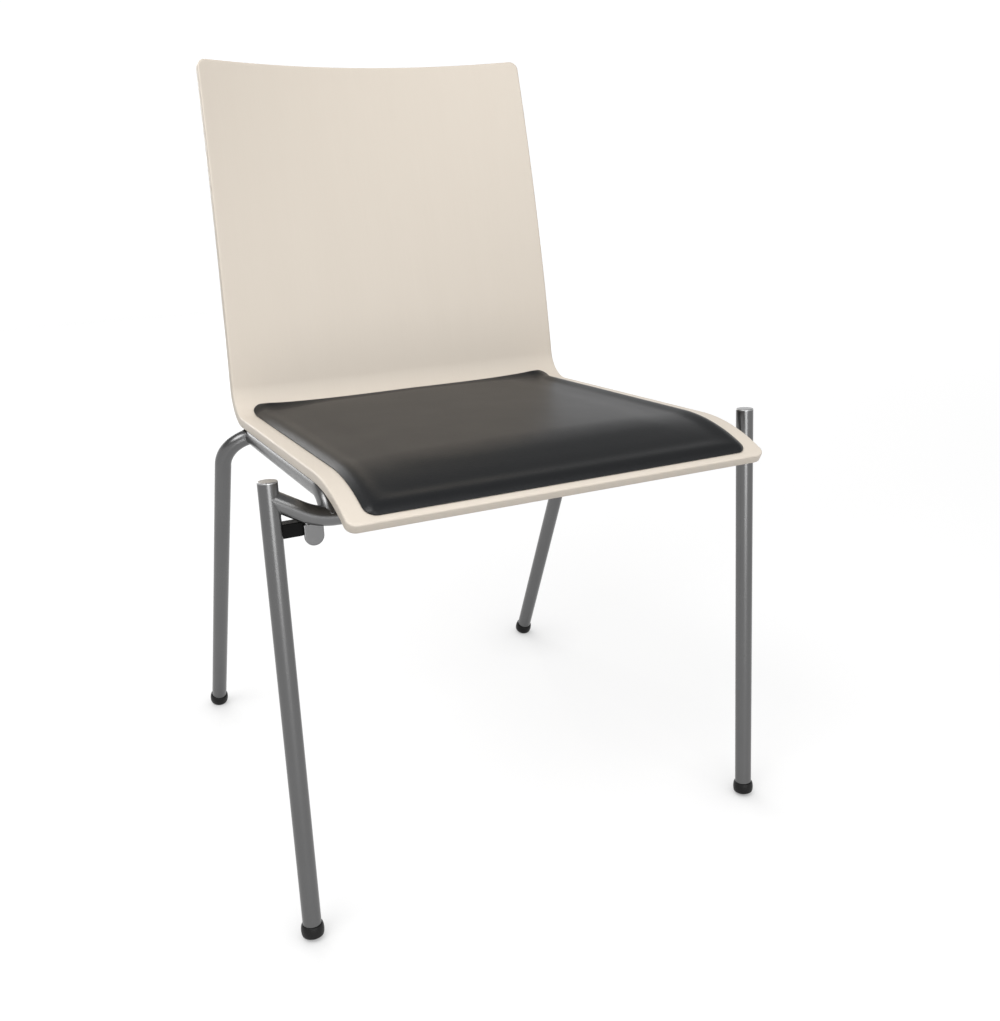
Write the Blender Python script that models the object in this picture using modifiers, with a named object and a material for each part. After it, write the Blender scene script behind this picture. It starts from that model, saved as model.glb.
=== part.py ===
"""Tubular steel stacking chair: bent tube frame, moulded plywood shell and upholstered seat pad.

Metres, +Z up. The front faces -Y. Left and right are as seen from the front, so left is -X.
While it is built, Y counts back from the line through the front feet. At the end the chair is
moved so that it stands centred on the origin.
"""
from math import asin, ceil, cos, exp, pi, radians, sin, sqrt, tan

import bmesh
import bpy
from mathutils import Matrix, Quaternion, Vector

# Gaps between pieces that touch
FIT = 0.0003
PAD_FIT = 0.0004

# Steel tube, the same for legs, rails and cross tubes
TUBE_R = 0.009
TUBE_WALL = 0.002
TUBE_SIDES = 20
BEND_STEP = radians(12)

# Moulded shell: a tapered blank bent along its length
SEAT_HEIGHT = 0.4450
SEAT_CREST_Y = 0.0453
SHELL_T = 0.0105
SHELL_FRONT_HALF = 0.2167
SHELL_TAPER = 0.0282
SHELL_CORNER_R = 0.010
SHELL_EDGE_ROUND = 0.0012
LIP_R = 0.192
LIP_ANGLE = radians(25.9)
SEAT_TILT = radians(4.6)
SEAT_STRAIGHT = 0.2713
SEAT_BEND_R = 0.032
BACK_ANGLE = radians(80.6)
BACK_R = 2.76
BACK_LENGTH = 0.355
BACK_HOLLOW = 0.0296
SHELL_COLUMNS = 12

# Rear frame: two legs and a cross tube bent from one length
FOOT_SPACING = 0.480
REAR_LEG_LEAN = radians(20.7)
REAR_LEG_CLEAR = 0.0125
REAR_BEND_R = 0.034

# Front legs and the cross tube between them
FRONT_LEG_LEAN = radians(6.2)
FRONT_LEG_CLEAR = 0.035
FRONT_CROSS_DROP = 0.0395
FRONT_CROSS_REACH = 0.0425
FRONT_CROSS_RISE = radians(30)
FRONT_CROSS_BEND_R = 0.065
POST_RISE = 0.0155
CAP_T = 0.0015
CAP_SPIGOT = 0.010

# Side rails under the shell's edges
RAIL_INSET = 0.0100
RAIL_NOSE = 0.0125
RAIL_BEND_R = 0.025
SADDLE_SHORT = 0.002

# Glides on the leg ends
GLIDE_R = 0.0111
GLIDE_TOP_R = 0.0094
GLIDE_RIM_R = 0.0098
GLIDE_HEIGHT = 0.015
GLIDE_BELLY = 0.0080
GLIDE_STEM = 0.018
SOLE_R = 0.016
SOLE_FLAT = 0.0006

# Plates welded to the rails, with a machine screw and a flanged nut each
BRACKET_LENGTH = 0.034
BRACKET_WIDTH = 0.024
BRACKET_T = 0.003
BRACKET_HOLE = 0.024
BRACKET_RUNS = (0.062, 0.212)
SHELL_SCREW_R = 0.003
SHELL_SCREW_HEAD_R = 0.0052
SHELL_SCREW_HEAD_H = 0.0033
NUT_BARREL_R = 0.0045
NUT_FLANGE_R = 0.0085
NUT_FLANGE_T = 0.0012
NUT_SINK = 0.0003
NUT_SHORT = 0.0008

# Seat pad, its board and the board's screws
PAD_INSET = 0.018
PAD_FRONT = 0.007
PAD_BACK_TUCK = 0.025
PAD_CORNER_R = 0.012
PAD_SIDE = 0.0010
PAD_EDGE_R = 0.0055
PAD_FOAM = 0.0019
PAD_CROWN = 0.0045
PAD_GROOVE = 0.0007
PAD_GROOVE_IN = 0.022
PAD_GROOVE_WIDTH = 0.007
PAD_EDGE_BAND = 0.034
PAD_EDGE_STEPS = 7
PAD_POCKET_STEP = 4
PAD_COLUMNS = 6
BOARD_T = 0.002
BOARD_PLAY = 0.0006
BOARD_CORNER_R = 0.006
PAD_SCREW_X = 0.105
PAD_SCREW_RUNS = (0.040, 0.220)
PAD_SCREW_R = 0.002
PAD_SCREW_HEAD_R = 0.004
PAD_SCREW_HEAD_H = 0.0024

# Lug under the front cross tube and buffer behind the left front leg
LUG_FROM_LEG = 0.0372
LUG_WIDTH = 0.018
LUG_T = 0.003
LUG_DROP = 0.024
BUFFER_HEIGHT = 0.0130
BUFFER_DEPTH = 0.014
BUFFER_SET_BACK = 0.0018
BUFFER_BELOW_CROSS = 0.0077
BUFFER_OUT = 0.004
BUFFER_IN = 0.0325
BUFFER_SCREW_R = 0.002
BUFFER_SCREW_HEAD_R = 0.0038
BUFFER_SCREW_HEAD_H = 0.0024
BUFFER_SCREW_PAST = 0.001

SMALL_STEPS = 12
ROUND_STEPS = 20

LEFT, RIGHT = -1, 1
SIDES = {"left": LEFT, "right": RIGHT}

# Lengths along the shell, from its front edge
LIP_LENGTH = LIP_R * (LIP_ANGLE + SEAT_TILT)
BEND_START = LIP_LENGTH + SEAT_STRAIGHT
BEND_LENGTH = SEAT_BEND_R * (BACK_ANGLE + SEAT_TILT)
BACK_START = BEND_START + BEND_LENGTH
SHELL_LENGTH = BACK_START + BACK_LENGTH


def clear_scene():
    for old in list(bpy.data.objects):
        bpy.data.objects.remove(old, do_unlink=True)


def new_collection(name):
    collection = bpy.data.collections.new(name)
    bpy.context.scene.collection.children.link(collection)
    return collection


def new_material(name, colour, roughness, metallic):
    material = bpy.data.materials.new(name)
    material.use_nodes = True
    shader = material.node_tree.nodes["Principled BSDF"]
    shader.inputs["Base Color"].default_value = (*colour, 1)
    shader.inputs["Roughness"].default_value = roughness
    shader.inputs["Metallic"].default_value = metallic
    material.diffuse_color = (*colour, 1)
    return material


clear_scene()
CHAIR = new_collection("tubular_steel_chair")
CUTTERS = new_collection("cutters")
STAND = bpy.data.objects.new("chair_stand", None)
CHAIR.objects.link(STAND)

FINISHES = {
    "steel": ((0.42, 0.42, 0.42), 0.32, 1.0),
    "zinc": ((0.50, 0.50, 0.49), 0.38, 1.0),
    "plywood": ((0.76, 0.67, 0.57), 0.50, 0.0),
    "board": ((0.38, 0.27, 0.17), 0.70, 0.0),
    "leather": ((0.040, 0.040, 0.041), 0.48, 0.0),
    "plastic": ((0.018, 0.018, 0.019), 0.45, 0.0),
}


def add_part(name, mesh, finish, matrix=Matrix()):
    """Add one named sub-part with its own material, smooth where it is round."""
    part = bpy.data.objects.new(name, mesh)
    CHAIR.objects.link(part)
    mesh.materials.clear()
    mesh.materials.append(new_material(name, *FINISHES[finish]))
    mesh.shade_smooth()
    mesh.set_sharp_from_angle(angle=radians(35))
    part.parent = STAND
    part.matrix_local = matrix
    return part


def add_cutter(name, mesh, matrix=Matrix()):
    cutter = bpy.data.objects.new(name, mesh)
    CUTTERS.objects.link(cutter)
    cutter.parent = STAND
    cutter.matrix_local = matrix
    cutter.hide_render = True
    cutter.display_type = "WIRE"
    return cutter


def cut(part, cutter):
    modifier = part.modifiers.new("cut_" + cutter.name, "BOOLEAN")
    modifier.operation = "DIFFERENCE"
    modifier.solver = "EXACT"
    modifier.object = cutter


def mesh_of_curve(curve):
    """The evaluated mesh of a curve, with its caps welded on."""
    holder = bpy.data.objects.new(curve.name, curve)
    bpy.context.scene.collection.objects.link(holder)
    evaluated = holder.evaluated_get(bpy.context.evaluated_depsgraph_get())
    mesh = bpy.data.meshes.new_from_object(evaluated)
    bpy.data.objects.remove(holder, do_unlink=True)
    bm = bmesh.new()
    bm.from_mesh(mesh)
    bmesh.ops.remove_doubles(bm, verts=bm.verts, dist=0.00001)
    bm.to_mesh(mesh)
    bm.free()
    return mesh


def bent_path(corners, bend_r):
    """Straight runs through the corners, with each inner corner turned into an arc."""
    points = [corners[0]]
    for before, corner, after in zip(corners, corners[1:], corners[2:]):
        back = (before - corner).normalized()
        on = (after - corner).normalized()
        half_turn = (pi - back.angle(on)) / 2
        start = back * bend_r * tan(half_turn)
        end = on * bend_r * tan(half_turn)
        centre = (back + on).normalized() * bend_r / cos(half_turn)
        axis = (start - centre).cross(end - centre)
        steps = ceil(2 * half_turn / BEND_STEP)
        for i in range(steps + 1):
            turn = Quaternion(axis, 2 * half_turn * i / steps)
            points.append(corner + centre + turn @ (start - centre))
    points.append(corners[-1])
    return points


def tube_curve(name, path, radius):
    curve = bpy.data.curves.new(name, "CURVE")
    curve.dimensions = "3D"
    spline = curve.splines.new("POLY")
    spline.points.add(len(path) - 1)
    for point, place in zip(spline.points, path):
        point.co = (*place, 1)
    curve.bevel_depth = radius
    curve.bevel_resolution = TUBE_SIDES // 2 - 2
    return curve


def add_tube(name, path):
    """A steel tube of even wall along the path, open at both ends."""
    tube = add_part(name, mesh_of_curve(tube_curve(name, path, TUBE_R)), "steel")
    wall = tube.modifiers.new("wall", "SOLIDIFY")
    wall.thickness = TUBE_WALL
    wall.offset = -1
    wall.use_even_offset = True
    return tube


def add_tube_cutter(name, path):
    """A solid rod that leaves the welding gap round a tube on the same path."""
    curve = tube_curve(name, path, TUBE_R + FIT)
    curve.use_fill_caps = True
    return add_cutter(name, mesh_of_curve(curve))


def turned_mesh(name, profile, steps):
    """A solid turned about Z from (radius, height) points that run from the top down."""
    mesh = bpy.data.meshes.new(name)
    bm = bmesh.new()
    line = [bm.verts.new((radius, 0, height)) for radius, height in profile]
    for upper, lower in zip(line, line[1:]):
        bm.edges.new((upper, lower))
    bmesh.ops.remove_doubles(bm, verts=bm.verts, dist=0.00001)
    bm.to_mesh(mesh)
    bm.free()
    holder = bpy.data.objects.new(name, mesh)
    bpy.context.scene.collection.objects.link(holder)
    screw = holder.modifiers.new("turn", "SCREW")
    screw.steps = steps
    screw.render_steps = steps
    screw.use_merge_vertices = True
    screw.merge_threshold = 0.00001
    evaluated = holder.evaluated_get(bpy.context.evaluated_depsgraph_get())
    turned = bpy.data.meshes.new_from_object(evaluated)
    bpy.data.objects.remove(holder, do_unlink=True)
    return turned


def rod_mesh(name, radius, low, high):
    return turned_mesh(name, [(0, high), (radius, high), (radius, low), (0, low)], SMALL_STEPS)


def screw_mesh(name, shank_r, head_r, head_h, length):
    """A round-headed screw that points up, with the underside of its head at height 0."""
    crown = [(head_r * cos(turn), -head_h / 2 * (1 + sin(turn))) for turn in (0, pi / 4)]
    profile = [(0, length), (shank_r, length), (shank_r, 0), (head_r, 0), *crown, (0, -head_h)]
    return turned_mesh(name, profile, SMALL_STEPS)


def flat_mesh(name, outline, depth):
    """A flat outline in XY, drawn counter-clockwise, with its thickness centred on Z = 0."""
    curve = bpy.data.curves.new(name, "CURVE")
    curve.dimensions = "2D"
    curve.fill_mode = "BOTH"
    curve.extrude = depth / 2
    spline = curve.splines.new("POLY")
    spline.points.add(len(outline) - 1)
    spline.use_cyclic_u = True
    for point, (x, y) in zip(spline.points, outline):
        point.co = (x, y, 0, 1)
    return mesh_of_curve(curve)


def arc_points(centre, radius, start, end, steps):
    turns = [start + (end - start) * i / steps for i in range(steps + 1)]
    return [(centre[0] + radius * cos(turn), centre[1] + radius * sin(turn)) for turn in turns]


# Shell shape


def along_arc(y, z, angle, radius, length):
    """Follow an arc for a length. A positive radius turns the heading up, a negative one down."""
    turned = angle + length / radius
    return (y + radius * (sin(turned) - sin(angle)), z - radius * (cos(turned) - cos(angle)), turned)


def shell_line(run):
    """Place and heading of the shell's top face at its side edge, at a run from the front edge."""
    y = SEAT_CREST_Y - LIP_R * sin(LIP_ANGLE)
    z = SEAT_HEIGHT - LIP_R * (1 - cos(LIP_ANGLE))
    y, z, angle = along_arc(y, z, LIP_ANGLE, -LIP_R, min(run, LIP_LENGTH))
    straight = min(max(run - LIP_LENGTH, 0), SEAT_STRAIGHT)
    y += straight * cos(angle)
    z += straight * sin(angle)
    bend = min(max(run - BEND_START, 0), BEND_LENGTH)
    y, z, angle = along_arc(y, z, angle, SEAT_BEND_R, bend)
    return along_arc(y, z, angle, -BACK_R, max(run - BACK_START, 0))


def half_width(run):
    return SHELL_FRONT_HALF - SHELL_TAPER * run


def back_hollow(x, run):
    """How far the back lies behind its side edges: nothing at the seat, most at the top."""
    rise = max(run - BEND_START, 0) / (SHELL_LENGTH - BEND_START)
    return BACK_HOLLOW * rise * rise * (2 - rise) * (1 - (x / half_width(run)) ** 2)


def shell_point(x, run, height=0.0):
    """A point at a height over the shell's top face."""
    y, z, angle = shell_line(run)
    over = height - back_hollow(x, run)
    return Vector((x, y - over * sin(angle), z + over * cos(angle)))


def shell_frame(x, run, height=0.0):
    """A frame on the shell with Z square to its top face and Y along it, to the rear."""
    return Matrix.Translation(shell_point(x, run, height)) @ Matrix.Rotation(shell_line(run)[2], 4, "X")


def corner_cut(run, start, end, corner_r):
    """How much a round corner takes off the half width near either end."""
    into_corner = corner_r - min(max(min(run - start, end - run), 0), corner_r)
    return corner_r - sqrt(corner_r ** 2 - into_corner ** 2)


def rounded_half(run, start, end, corner_r, inset):
    """Half width of a piece cut to the shell's taper, less an inset, with round corners."""
    return half_width(run) - inset - corner_cut(run, start, end, corner_r)


def corner_runs(corner_r, steps=3):
    return [corner_r * (1 - cos(pi / 2 * i / steps)) for i in range(steps + 1)]


def even_runs(start, end, count):
    return [start + (end - start) * i / count for i in range(1, count + 1)]


def flat_grid(columns, runs):
    """A flat grid with its points at (column share from -1 to 1, run)."""
    bm = bmesh.new()
    last_column = len(columns) - 1
    last_run = len(runs) - 1
    bmesh.ops.create_grid(bm, x_segments=last_column, y_segments=last_run, size=1)
    for vert in bm.verts:
        i = round((vert.co.x + 1) / 2 * last_column)
        j = round((vert.co.y + 1) / 2 * last_run)
        vert.co = (columns[i], runs[j], 0)
    return bm


def mesh_from(bm, name):
    mesh = bpy.data.meshes.new(name)
    bm.to_mesh(mesh)
    bm.free()
    return mesh


def add_shell():
    corner = corner_runs(SHELL_CORNER_R)
    runs = corner + even_runs(SHELL_CORNER_R, LIP_LENGTH, 7)
    runs += even_runs(LIP_LENGTH, BEND_START, 2) + even_runs(BEND_START, BACK_START, 8)
    runs += even_runs(BACK_START, SHELL_LENGTH - SHELL_CORNER_R, 10)
    runs += [SHELL_LENGTH - run for run in reversed(corner[:-1])]
    columns = [2 * i / SHELL_COLUMNS - 1 for i in range(SHELL_COLUMNS + 1)]

    bm = flat_grid(columns, runs)
    for vert in bm.verts:
        share, run, _ = vert.co
        vert.co = shell_point(share * rounded_half(run, 0, SHELL_LENGTH, SHELL_CORNER_R, 0), run)
    shell = add_part("seat_shell", mesh_from(bm, "seat_shell"), "plywood")
    thickness = shell.modifiers.new("thickness", "SOLIDIFY")
    thickness.thickness = SHELL_T
    thickness.offset = -1
    thickness.use_even_offset = True
    rounding = shell.modifiers.new("rounded_edge", "BEVEL")
    rounding.width = SHELL_EDGE_ROUND
    rounding.segments = 2
    rounding.limit_method = "ANGLE"
    rounding.angle_limit = radians(50)
    return shell


# Frame lines


def seat_run_at(y):
    """Run along the shell of a point of the straight seat, from its place behind the front feet."""
    return LIP_LENGTH + (y - shell_line(LIP_LENGTH)[0]) / cos(SEAT_TILT)


def rail_height(y):
    """Height of the rail axis, which lies under the straight seat."""
    seat_y, seat_z, _ = shell_line(LIP_LENGTH)
    under = SHELL_T + FIT + TUBE_R
    return seat_z - under / cos(SEAT_TILT) - (y - seat_y) * tan(SEAT_TILT)


def rail_x(y):
    return half_width(seat_run_at(y)) - RAIL_INSET


def front_leg_point(x, z):
    return Vector((x, z * tan(FRONT_LEG_LEAN), z))


def rear_leg_point(x, z):
    return Vector((x, FOOT_SPACING - z * tan(REAR_LEG_LEAN), z))


FRONT_CROSS_Z = SEAT_HEIGHT - FRONT_CROSS_DROP
FRONT_LEG_X = half_width(LIP_LENGTH) + FRONT_LEG_CLEAR + TUBE_R
FRONT_JOINT_Z = FRONT_CROSS_Z + FRONT_CROSS_REACH * tan(FRONT_CROSS_RISE) * cos(FRONT_LEG_LEAN)
POST_TOP_Z = FRONT_JOINT_Z + POST_RISE

# The rear cross tube lies where the plane of the rear legs meets the rails' line under the seat.
RAIL_AT_FEET = rail_height(0)
REAR_CROSS_Z = (RAIL_AT_FEET - FOOT_SPACING * tan(SEAT_TILT)) / (1 - tan(REAR_LEG_LEAN) * tan(SEAT_TILT))
REAR_CROSS_Y = rear_leg_point(0, REAR_CROSS_Z).y
REAR_LEG_X = half_width(seat_run_at(REAR_CROSS_Y)) + REAR_LEG_CLEAR + TUBE_R

SOLE_CENTRE_Z = SOLE_R - SOLE_FLAT
TUBE_END = GLIDE_HEIGHT - SOLE_CENTRE_Z


def leg_end_z(lean):
    return SOLE_CENTRE_Z + TUBE_END * cos(lean)


def front_leg_path(side):
    foot = front_leg_point(side * FRONT_LEG_X, leg_end_z(FRONT_LEG_LEAN))
    top = front_leg_point(side * FRONT_LEG_X, POST_TOP_Z - (CAP_T + FIT) * cos(FRONT_LEG_LEAN))
    return [foot, top]


def front_cross_path():
    """Bent up to the left leg, where the lug hangs, and straight on to the right leg."""
    corners = [
        front_leg_point(LEFT * FRONT_LEG_X, FRONT_JOINT_Z),
        front_leg_point(LEFT * (FRONT_LEG_X - FRONT_CROSS_REACH), FRONT_CROSS_Z),
        front_leg_point(RIGHT * FRONT_LEG_X, FRONT_CROSS_Z),
    ]
    return bent_path(corners, FRONT_CROSS_BEND_R)


def rear_frame_path():
    foot_z = leg_end_z(REAR_LEG_LEAN)
    corners = [
        rear_leg_point(LEFT * REAR_LEG_X, foot_z),
        rear_leg_point(LEFT * REAR_LEG_X, REAR_CROSS_Z),
        rear_leg_point(RIGHT * REAR_LEG_X, REAR_CROSS_Z),
        rear_leg_point(RIGHT * REAR_LEG_X, foot_z),
    ]
    return bent_path(corners, REAR_BEND_R)


def shortened(path):
    """Stop a path just short of the axes it runs to, so that the saddle cut shapes the tube's end."""
    first = (path[1] - path[0]).normalized() * SADDLE_SHORT
    last = (path[-2] - path[-1]).normalized() * SADDLE_SHORT
    return [path[0] + first, *path[1:-1], path[-1] + last]


def rail_path(side):
    """Straight under the seat from the rear cross tube, with a nose bent down to the front one."""
    front_y = front_leg_point(0, FRONT_CROSS_Z).y
    turn_y = front_y + RAIL_NOSE
    corners = [
        Vector((side * rail_x(REAR_CROSS_Y), REAR_CROSS_Y, REAR_CROSS_Z)),
        Vector((side * rail_x(turn_y), turn_y, rail_height(turn_y))),
        Vector((side * rail_x(front_y), front_y, FRONT_CROSS_Z)),
    ]
    return shortened(bent_path(corners, RAIL_BEND_R))


def add_frame():
    cross = add_tube("front_cross_tube", front_cross_path())
    rear = add_tube("rear_leg_frame", rear_frame_path())
    cross_cutter = add_tube_cutter("front_cross_room", front_cross_path())
    rear_cutter = add_tube_cutter("rear_frame_room", rear_frame_path())
    legs = {}
    leg_rooms = {}
    rail_rooms = {}
    for word, side in SIDES.items():
        legs[word] = add_tube("front_leg_" + word, front_leg_path(side))
        leg_rooms[word] = add_tube_cutter("front_leg_room_" + word, front_leg_path(side))
        cut(cross, leg_rooms[word])
        rail = add_tube("side_rail_" + word, rail_path(side))
        rail_rooms[word] = add_tube_cutter("rail_room_" + word, rail_path(side))
        cut(rail, cross_cutter)
        cut(rail, rear_cutter)
    return legs, leg_rooms, rail_rooms, cross_cutter


def add_leg_caps():
    bore_r = TUBE_R - TUBE_WALL - FIT
    profile = [(0, 0), (TUBE_R, 0), (TUBE_R, -CAP_T), (bore_r, -CAP_T), (bore_r, -CAP_T - CAP_SPIGOT)]
    profile.append((0, -CAP_T - CAP_SPIGOT))
    for word, side in SIDES.items():
        top = Matrix.Translation(front_leg_point(side * FRONT_LEG_X, POST_TOP_Z))
        name = "front_leg_cap_" + word
        place = top @ Matrix.Rotation(-FRONT_LEG_LEAN, 4, "X")
        add_part(name, turned_mesh(name, profile, ROUND_STEPS), "steel", place)


def glide_profile():
    """Stem, round shoulder, belly and domed sole, from the top down. Height 0 is the sole's centre."""
    stem_r = TUBE_R - TUBE_WALL - FIT
    top = TUBE_END - FIT
    belly = GLIDE_BELLY - SOLE_CENTRE_Z
    rim_turn = asin(GLIDE_RIM_R / SOLE_R)
    rim = -SOLE_R * cos(rim_turn)
    points = [(0, TUBE_END + GLIDE_STEM), (stem_r, TUBE_END + GLIDE_STEM), (stem_r, top)]
    for turn in (0, pi / 6, pi / 3, pi / 2):
        bulge = (GLIDE_R - GLIDE_TOP_R) * sin(turn)
        points.append((GLIDE_TOP_R + bulge, belly + (top - belly) * cos(turn)))
    for turn in (pi / 4, pi / 2):
        bulge = (GLIDE_R - GLIDE_RIM_R) * cos(turn)
        points.append((GLIDE_RIM_R + bulge, belly - (belly - rim) * sin(turn)))
    for share in (2 / 3, 1 / 3, 0):
        points.append((SOLE_R * sin(rim_turn * share), -SOLE_R * cos(rim_turn * share)))
    return points


def add_glides():
    bm = bmesh.new()
    bmesh.ops.create_cube(bm, size=1, matrix=Matrix.Translation((0, 0, -0.5)))
    floor = add_cutter("floor", mesh_from(bm, "floor"), Matrix.Translation((0, FOOT_SPACING / 2, 0)))
    floor.scale = (4 * FRONT_LEG_X, 2 * FOOT_SPACING, SOLE_R)
    for end, x, leg_point, turn in (
        ("front", FRONT_LEG_X, front_leg_point, -FRONT_LEG_LEAN),
        ("rear", REAR_LEG_X, rear_leg_point, REAR_LEG_LEAN),
    ):
        for word, side in SIDES.items():
            name = "glide_" + end + "_" + word
            place = Matrix.Translation(leg_point(side * x, SOLE_CENTRE_Z)) @ Matrix.Rotation(turn, 4, "X")
            glide = add_part(name, turned_mesh(name, glide_profile(), ROUND_STEPS), "plastic", place)
            cut(glide, floor)


# Shell fixings


def nut_profile():
    bore_r = SHELL_SCREW_R + FIT
    bottom = -SHELL_T + NUT_SHORT
    flange_top = -NUT_SINK
    flange_low = flange_top - NUT_FLANGE_T
    return [
        (bore_r, flange_top),
        (NUT_FLANGE_R, flange_top),
        (NUT_FLANGE_R, flange_low),
        (NUT_BARREL_R, flange_low),
        (NUT_BARREL_R, bottom),
        (bore_r, bottom),
        (bore_r, flange_top),
    ]


def nut_hole_profile():
    """Room for a nut: a flat recess for its flange and a hole right through for its barrel."""
    top = SHELL_T / 2
    low = -1.5 * SHELL_T
    recess_low = -NUT_SINK - NUT_FLANGE_T - FIT
    flange_r = NUT_FLANGE_R + FIT
    barrel_r = NUT_BARREL_R + FIT
    recess = [(0, top), (flange_r, top), (flange_r, recess_low)]
    return recess + [(barrel_r, recess_low), (barrel_r, low), (0, low)]


def add_shell_fixings(shell, rail_rooms):
    """Four bracket plates on the rails, each with its screw and the nut let into the shell."""
    number = 0
    plate_top = -SHELL_T - FIT
    head_top = plate_top - BRACKET_T - FIT
    seat_y = shell_line(LIP_LENGTH)[0]
    for word, side in SIDES.items():
        for run in BRACKET_RUNS:
            number += 1
            tag = "_" + str(number)
            y = seat_y + run * cos(SEAT_TILT)
            on_rail = shell_frame(side * rail_x(y), LIP_LENGTH + run, 0)
            at_hole = shell_frame(side * (rail_x(y) - BRACKET_HOLE), LIP_LENGTH + run, 0)
            bm = bmesh.new()
            size = Matrix.Diagonal((BRACKET_LENGTH, BRACKET_WIDTH, BRACKET_T, 1))
            centre = Matrix.Translation((-side * BRACKET_LENGTH / 2, 0, plate_top - BRACKET_T / 2))
            bmesh.ops.create_cube(bm, size=1, matrix=centre @ size)
            plate = add_part("shell_bracket" + tag, mesh_from(bm, "shell_bracket" + tag), "steel", on_rail)
            cut(plate, rail_rooms[word])
            hole = rod_mesh("bracket_hole" + tag, SHELL_SCREW_R + FIT, head_top, plate_top + FIT)
            cut(plate, add_cutter("bracket_hole" + tag, hole, at_hole))

            stepped = turned_mesh("nut_hole" + tag, nut_hole_profile(), SMALL_STEPS)
            cut(shell, add_cutter("nut_hole" + tag, stepped, at_hole))
            nut = turned_mesh("shell_nut" + tag, nut_profile(), SMALL_STEPS)
            add_part("shell_nut" + tag, nut, "zinc", at_hole)

            length = -NUT_SINK - FIT - head_top
            screw = screw_mesh(
                "shell_screw" + tag, SHELL_SCREW_R, SHELL_SCREW_HEAD_R, SHELL_SCREW_HEAD_H, length
            )
            add_part("shell_screw" + tag, screw, "zinc", at_hole @ Matrix.Translation((0, 0, head_top)))


# Seat pad


PAD_BACK = BEND_START + PAD_BACK_TUCK
PAD_POCKET_H = PAD_FIT + BOARD_T + FIT


def pad_half(run):
    return rounded_half(run, PAD_FRONT, PAD_BACK, PAD_CORNER_R, PAD_INSET)


def edge_band():
    """Distances in from the pad's edge, close together at the edge and wider inwards."""
    return [PAD_EDGE_BAND * (i / PAD_EDGE_STEPS) ** 1.7 for i in range(PAD_EDGE_STEPS + 1)]


def edge_round(inset):
    """Share of the full height at a distance in from the edge, a quarter round."""
    return sqrt(1 - min(max(1 - inset / PAD_EDGE_R, 0), 1) ** 2)


def pad_top(x, run):
    """Height of the pad's cover over the shell: round edge, shallow groove and a crowned middle."""
    side_in = max(pad_half(run) - abs(x), 0)
    front_in = run - PAD_FRONT
    back_in = PAD_BACK - run
    full = edge_round(side_in) * edge_round(front_in) * edge_round(back_in)
    nearest = min(side_in, front_in, back_in)
    groove = PAD_GROOVE * exp(-(((nearest - PAD_GROOVE_IN) / PAD_GROOVE_WIDTH) ** 2))
    across = 1 - (x / pad_half(run)) ** 2
    lengthwise = 4 * front_in * back_in / (PAD_BACK - PAD_FRONT) ** 2
    body = PAD_POCKET_H + PAD_FOAM - PAD_SIDE
    return PAD_SIDE + body * full - groove + PAD_CROWN * sqrt(max(across * lengthwise, 0))


def pad_columns():
    """Column shares: the edge band on both sides and even columns between."""
    edge = [inset / pad_half(LIP_LENGTH) for inset in edge_band()]
    columns = [share - 1 for share in edge]
    columns += [(1 - edge[-1]) * (2 * i / PAD_COLUMNS - 1) for i in range(1, PAD_COLUMNS)]
    return columns + [1 - share for share in reversed(edge)]


def pad_runs():
    band = edge_band()
    runs = [PAD_FRONT + inset for inset in band]
    runs += even_runs(runs[-1], LIP_LENGTH, 5)
    runs += even_runs(LIP_LENGTH, PAD_BACK - PAD_EDGE_BAND, 6)[:-1]
    return runs + [PAD_BACK - inset for inset in reversed(band)]


POCKET_IN = edge_band()[PAD_POCKET_STEP]
POCKET_SHARE = 1 - POCKET_IN / pad_half(LIP_LENGTH)
POCKET_FRONT = PAD_FRONT + POCKET_IN
POCKET_BACK = PAD_BACK - POCKET_IN


def in_pocket(share, run):
    return abs(share) < POCKET_SHARE + FIT and POCKET_FRONT - FIT < run < POCKET_BACK + FIT


def add_pad():
    """Foam and cover in one body. Its underside has a pocket for the board."""
    bm = flat_grid(pad_columns(), pad_runs())
    raised = bmesh.ops.extrude_face_region(bm, geom=bm.faces[:])
    cover = [item for item in raised["geom"] if isinstance(item, bmesh.types.BMVert)]
    bmesh.ops.translate(bm, vec=(0, 0, 1), verts=cover)
    for vert in bm.verts:
        share, run, level = vert.co
        x = share * pad_half(run)
        if level > 0.5:
            height = PAD_FIT + pad_top(x, run)
        else:
            height = PAD_POCKET_H if in_pocket(share, run) else PAD_FIT
        vert.co = shell_point(x, run, height)
    add_part("seat_pad", mesh_from(bm, "seat_pad"), "leather")


def board_half(run):
    """Half width of the board: the pocket's, less its play, with round corners."""
    start = POCKET_FRONT + BOARD_PLAY
    end = POCKET_BACK - BOARD_PLAY
    return POCKET_SHARE * pad_half(run) - BOARD_PLAY - corner_cut(run, start, end, BOARD_CORNER_R)


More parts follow.
